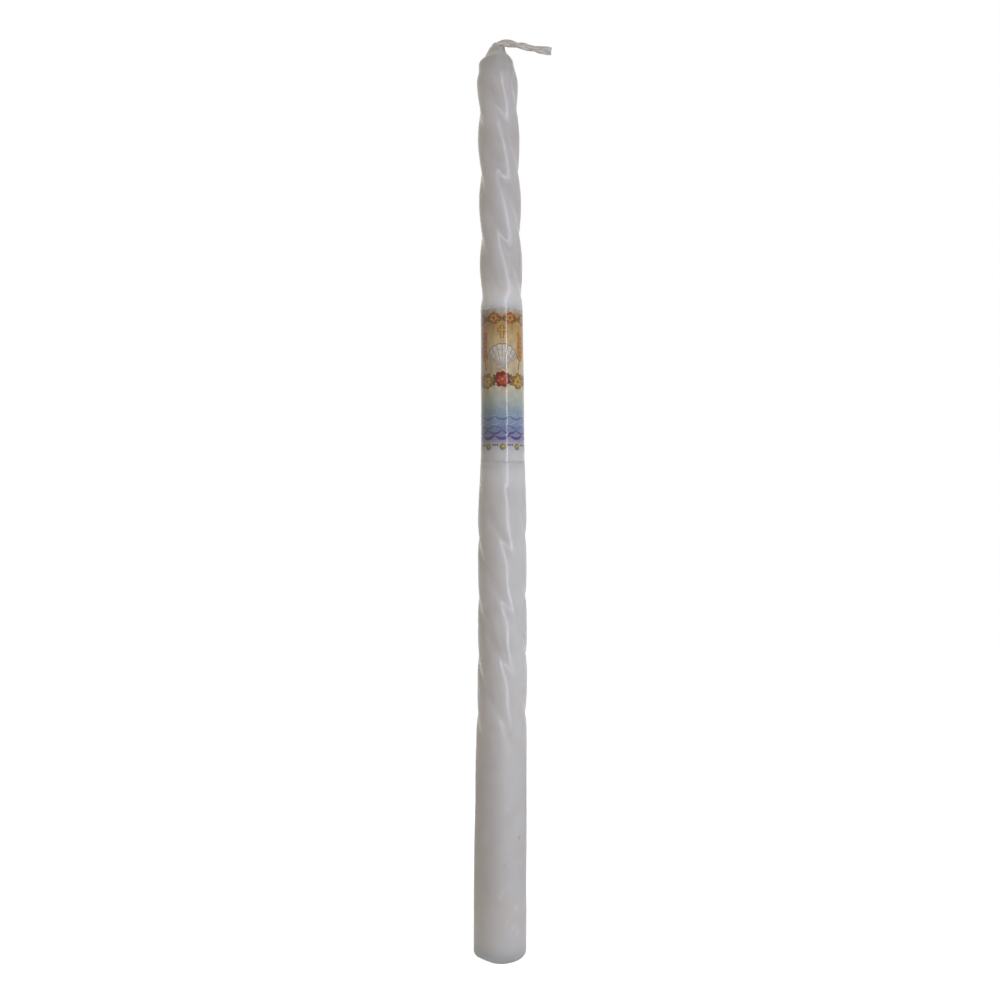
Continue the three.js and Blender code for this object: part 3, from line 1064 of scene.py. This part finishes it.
def make_garland():
    """A row of gold and rust rosettes with leaves between them, none over the seam."""
    random = np.random.default_rng(21)
    amber, rust, petals, hearts, leaves = [], [], [], [], []
    for index, u in enumerate(around_places(ROSETTE_COUNT, 0.5)):
        centre = np.array([u, ROSETTE_HEIGHT])
        outer = amber if index % 2 else rust
        outer += flower(centre, math.pi / 2, random, **ROSETTE_OUTER)
        petals += flower(centre, -math.pi / 2, random, **ROSETTE_INNER)
        hearts.append(disc(centre, radius=0.00042))
        side = centre + np.array([GIRTH / ROSETTE_COUNT / 2, -ROSETTE_LEAF_DROP])
        for angle in ROSETTE_LEAF_ANGLES:
            leaves.append(blade(side, angle, length=0.0017, width=0.0009))
    ink("print_rosette_leaves", leaves[:-len(ROSETTE_LEAF_ANGLES)], "olive", 0)
    ink("print_amber_rosettes", amber, "amber", 1)
    ink("print_rust_rosettes", rust, "rust", 1)
    ink("print_rosette_petals", petals, "gold", 2)
    ink("print_rosette_hearts", hearts, "umber", 3)


def make_cross():
    """A small gold cross with short rays."""
    centre = np.array([0.0, CROSS_MIDDLE])
    arms, edges, rays = [], [], []
    share = np.linspace(0, 1, 12)
    width = CROSS_HALF_WIDTH + CROSS_FLARE * share ** 3
    for angle, length in CROSS_ARMS:
        arms.append(strip(centre + share[:, None] * length * heading(angle), width))
        reach = length + CROSS_EDGE
        edges.append(strip(centre + share[:, None] * reach * heading(angle), width + CROSS_EDGE))
    for index in range(RAY_COUNT):
        angle = (index + 0.5) * 2 * math.pi / RAY_COUNT
        ends = [centre + heading(angle) * reach for reach in (RAY_START, RAY_ENDS[index % 2])]
        rays.append(strip(np.linspace(*ends, 7), np.linspace(*RAY_HALF_WIDTHS, 7), 3))
    ink("print_rays", rays, "ray", 0)
    ink("print_cross_edge", edges, "cross_edge", 2)
    ink("print_cross", arms, "cross", 3)


def rib_share(tilt):
    """Length of a rib at an angle from upright, as a share of the middle one's."""
    return 1 - SHELL_DROP * (2 * tilt / SHELL_SPREAD) ** 2


def fan(reach, inner):
    """Grid of a scalloped fan that opens upwards from the shell's hinge."""
    tilt = np.linspace(-SHELL_SPREAD / 2, SHELL_SPREAD / 2, SHELL_RIBS * 8 + 1)[None, :]
    scallop = np.abs(np.cos(np.pi * tilt * SHELL_RIBS / SHELL_SPREAD + np.pi * (SHELL_RIBS - 1) / 2))
    edge = reach * rib_share(tilt) * (1 - SHELL_SCALLOP + SHELL_SCALLOP * scallop ** 0.7)
    share = np.linspace(0, 1, 12)[:, None]
    radius = inner + (edge - inner) * share
    return facing_out(SHELL_HINGE + np.stack([radius * np.sin(tilt), radius * np.cos(tilt)], 2))


def make_shell():
    """A pale scallop shell with brown grooves and growth lines."""
    grooves, ears = [], []
    for index in range(1, SHELL_RIBS):
        tilt = (index / SHELL_RIBS - 0.5) * SHELL_SPREAD
        along = np.array([math.sin(tilt), math.cos(tilt)])
        length = SHELL_REACH * rib_share(tilt)
        path = np.linspace(SHELL_HINGE + along * 0.0011, SHELL_HINGE + along * length * 0.94, 9)
        grooves.append(strip(path, np.linspace(0.00004, 0.00013, 9), 3))
    tilt = np.linspace(-0.47, 0.47, 31) * SHELL_SPREAD
    for share in SHELL_GROWTH_LINES:
        radius = share * SHELL_REACH * rib_share(tilt)
        path = SHELL_HINGE + np.stack([radius * np.sin(tilt), radius * np.cos(tilt)], 1)
        grooves.append(strip(path, 0.00005, 3))
    ear_base = SHELL_HINGE + np.array([0, 0.0003])
    for side in (-1, 1):
        angle = math.pi / 2 - side * SHELL_EAR_TURN
        ears.append(blade(ear_base, angle, length=0.0026, width=0.0013))
    ink("print_shell_shade", [fan(SHELL_REACH + SHELL_SHADE_WIDTH, inner=0.0003)], "shell_shade", 1)
    ink("print_shell_ears", ears, "shell_ear", 2)
    ink("print_shell", [fan(SHELL_REACH, inner=0.0005)], "shell", 3)
    ink("print_shell_grooves", grooves, "shell_groove", 4)


def make_wheat():
    """Upright ears of wheat, two at the front and two at the back."""
    random = np.random.default_rng(8)
    stems, grains, shades = [], [], []
    back = GIRTH / 2
    ears = [(WHEAT_SIDE, 1), (-WHEAT_SIDE, -1), (back - WHEAT_BACK_SIDE, -1), (WHEAT_BACK_SIDE - back, 1)]
    for middle, side in ears:
        share = np.linspace(0, 1, 25)
        u = middle + side * WHEAT_BEND * np.sin(share * 2.2)
        path = np.stack([u, WHEAT_FOOT + WHEAT_LENGTH * share], 1)
        stems.append(strip(path, np.linspace(0.00018, 0.00010, 25), 3))
        for index in range(6, 24, 3):
            upwards = math.atan2(*(path[index + 1] - path[index - 1])[::-1])
            for turn in GRAIN_TURNS:
                angle = upwards + turn + random.uniform(-0.08, 0.08)
                shades.append(blade(path[index], angle, length=0.0022, width=0.00125, fullness=0.7))
                grain = path[index] + 0.00008
                grains.append(blade(grain, angle, length=0.0019, width=0.00085, fullness=0.7))
        grains.append(blade(path[-1], math.pi / 2, length=0.0020, width=0.0009))
    ink("print_wheat_stems", stems, "stem", 0)
    ink("print_wheat_shades", shades, "wheat_shade", 1)
    ink("print_wheat_grains", grains, "wheat", 2)


def make_peonies():
    """A garland of red and gold blossoms with dark leaves, none over the seam."""
    random = np.random.default_rng(4)
    red, gold, leaves = ([], [], []), ([], [], []), []
    for index, u in enumerate(around_places(PEONY_COUNT, 0)):
        if index == 0:
            continue
        centre = np.array([u, PEONY_HEIGHT + PEONY_STEP * (-1) ** index])
        outer, inner, hearts = gold if index % 2 else red
        outer += flower(centre, math.pi / 2 + 0.2 * index, random, **PEONY_OUTER)
        inner += flower(centre + PEONY_INNER_PLACE, 0.3 * index, random, **PEONY_INNER)
        hearts.append(disc(centre, radius=0.00038))
        for side, middle in ((-1, math.pi), (1, 0)):
            base = centre + np.array([side * PEONY_LEAF_PLACE, 0])
            for turn in PEONY_LEAF_TURNS:
                leaves.append(blade(base, middle + side * turn, length=0.0022, width=0.0010))
    ink("print_peony_leaves", leaves, "leaf", 0)
    ink("print_red_peonies", red[0], "red", 1)
    ink("print_red_petals", red[1], "coral", 2)
    ink("print_red_hearts", red[2], "heart", 3)
    ink("print_gold_peonies", gold[0], "ochre", 1)
    ink("print_gold_petals", gold[1], "yellow", 2)
    ink("print_gold_hearts", gold[2], "brown", 3)


def make_waves():
    """Rows of water, from pale crests down to two violet lines."""
    waves = {"pale": [], "blue": [], "violet": []}
    width = GIRTH / WAVE_COUNT
    share = np.linspace(-1, 1, 21)
    hump = 1 - share ** 2
    for row, (v, shade, thick) in enumerate(WAVE_ROWS):
        places = around_places(WAVE_COUNT, 0.5) if row % 2 else around_places(WAVE_COUNT, 1)[:-1]
        for u in places:
            path = np.stack([u + share * width * 0.49, v - WAVE_SAG * hump + WAVE_SLANT * share], 1)
            waves[shade].append(strip(path, WAVE_HALF_THICKNESS + thick * hump ** 0.7))
    ink("print_pale_waves", waves["pale"], "pale_blue", 2)
    ink("print_blue_waves", waves["blue"], "blue", 1)
    ink("print_violet_waves", waves["violet"], "violet", 1)


def make_pearls():
    """A row of pearls with dots between them, none over the seam."""
    pearls, hearts, dots = [], [], []
    for u in around_places(PEARL_COUNT, 0.5):
        pearls.append(disc(np.array([u, PEARL_HEIGHT]), radius=0.00105))
        hearts.append(disc(np.array([u + 0.0002, PEARL_HEIGHT + 0.0002]), radius=0.00045))
        dots += [disc(np.array([u + step, PEARL_HEIGHT + DOT_RISE]), radius=0.00032) for step in DOT_PLACES]
    ink("print_pearls", pearls, "pearl", 1)
    ink("print_pearl_hearts", hearts, "pearl_heart", 2)
    ink("print_dots", dots[:-len(DOT_PLACES)], "dot", 1)


# Stage

FLOOR_HALF_SIZE = 4.0
FLOOR_COLOUR = (0.80, 0.80, 0.80, 1)
FLOOR_GLOW_COLOUR = (0.93, 0.965, 1.0, 1)
FLOOR_GLOW = 0.84
LIGHT_FROM_LEFT = (0.425, 0.400, 0.310, 1)
LIGHT_FROM_RIGHT = (0.172, 0.118, 0.150, 1)


def make_floor():
    """A pale floor that glows for the camera, so that it looks plain."""
    mesh = bpy.data.meshes.new("floor")
    far = FLOOR_HALF_SIZE
    corners = [(-far, -far, 0), (far, -far, 0), (far, far, 0), (-far, far, 0)]
    mesh.from_pydata(corners, [], [(0, 1, 2, 3)])
    floor = add_object("floor", mesh)
    material = new_material("pale_floor")
    shader = add_node(material, "ShaderNodeBsdfDiffuse", {"Color": FLOOR_COLOUR})
    strength = calculated("MULTIPLY", seen_directly(material), FLOOR_GLOW)
    glow = add_node(material, "ShaderNodeEmission", {"Color": FLOOR_GLOW_COLOUR, "Strength": strength})
    both = add_node(material, "ShaderNodeAddShader", {0: shader.outputs[0], 1: glow.outputs[0]})
    mesh.materials.append(finish_material(material, both))


def seen_directly(holder):
    """1 for rays from the camera and for those that a glossy or a clear surface sends on."""
    path = add_node(holder, "ShaderNodeLightPath").outputs
    direct = calculated("MAXIMUM", path["Is Camera Ray"], path["Is Glossy Ray"])
    return calculated("MAXIMUM", direct, path["Is Transmission Ray"])


def make_world():
    """Soft light from all round, brighter from the left, with a white background."""
    world = bpy.data.worlds.new("studio")
    world.use_nodes = True
    world.node_tree.nodes.clear()
    bpy.context.scene.world = world
    direction = add_node(world, "ShaderNodeTexCoord").outputs["Generated"]
    share = mapped(component(direction, "X"), -1, 1, 0, 1)
    light = mixed(share, LIGHT_FROM_LEFT, LIGHT_FROM_RIGHT)
    colour = mixed(seen_directly(world), light, WHITE)
    glow = add_node(world, "ShaderNodeBackground", {"Color": colour})
    add_node(world, "ShaderNodeOutputWorld", {"Surface": glow.outputs[0]})


def make_lamp(name, degrees, distance, height, size, power, colour, mirrored=True):
    """A flat lamp that faces the candle; degrees are to the right of the camera's side."""
    data = bpy.data.lights.new(name, "AREA")
    data.shape = "RECTANGLE"
    data.size, data.size_y = size
    data.energy = power
    data.color = colour
    lamp = add_object(name, data)
    turn = math.radians(degrees)
    lamp.location = (distance * math.sin(turn), -distance * math.cos(turn), height)
    lamp.rotation_euler = (math.pi / 2, 0, turn)
    lamp.visible_camera = False
    lamp.visible_glossy = mirrored


def make_lamps():
    """A narrow window that the wax mirrors, and a soft one that it doesn't."""
    make_lamp("window_strip", degrees=23, distance=0.20, height=0.211, size=(0.014, 0.42),
              power=0.26, colour=(0.81, 0.865, 1.0))
    make_lamp("soft_window", degrees=60, distance=0.24, height=0.11, size=(0.12, 0.14),
              power=0.170, colour=(0.90, 1.0, 0.98), mirrored=False)


def make_camera():
    data = bpy.data.cameras.new("camera")
    data.lens = data.sensor_width * FOCAL_PIXELS / IMAGE_PIXELS
    data.clip_start = 0.01
    camera = add_object("camera", data)
    camera.location = CAMERA_PLACE
    camera.rotation_euler = (math.pi / 2, 0, 0)
    bpy.context.scene.camera = camera


make_camera()
make_wax()
make_wick()
make_film()
make_garland()
make_cross()
make_shell()
make_wheat()
make_peonies()
make_waves()
make_pearls()
make_floor()
make_world()
make_lamps()
bpy.context.scene.view_settings.view_transform = "Standard"
